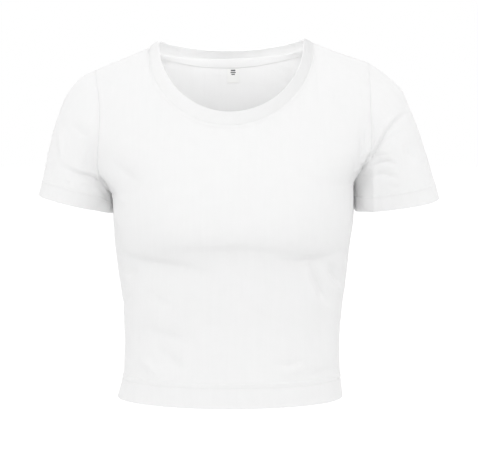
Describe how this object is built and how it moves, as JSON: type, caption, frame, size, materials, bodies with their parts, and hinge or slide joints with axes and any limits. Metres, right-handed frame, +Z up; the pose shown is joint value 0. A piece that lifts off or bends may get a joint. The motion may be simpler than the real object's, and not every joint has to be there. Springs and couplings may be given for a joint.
{
  "type": "crop top",
  "caption": "Cropped T-shirt with a round rib neckband and short set-in sleeves, filled out and hollow as if worn, open at neck, hem and cuffs.",
  "frame": {"origin": "middle of the neck, level with the high points of the shoulders, where the wearer's shoulders hold the garment up", "axes": "+Z up; the front faces -Y; the wearer's left is +X"},
  "size_m": [0.515, 0.2238, 0.4664],
  "materials": {
    "jersey": "plain white single jersey, matt",
    "rib": "white one-by-one rib knit, matt",
    "tape": "white woven tape, matt",
    "label": "white satin label, slightly glossy, blank"
  },
  "bodies": {
    "root": {"front_panel": "jersey", "back_panel": "jersey", "sleeve_left": "jersey", "sleeve_right": "jersey", "neckband": "rib", "neck_tape": "tape", "size_label": "label"}
  },
  "joints": []
}
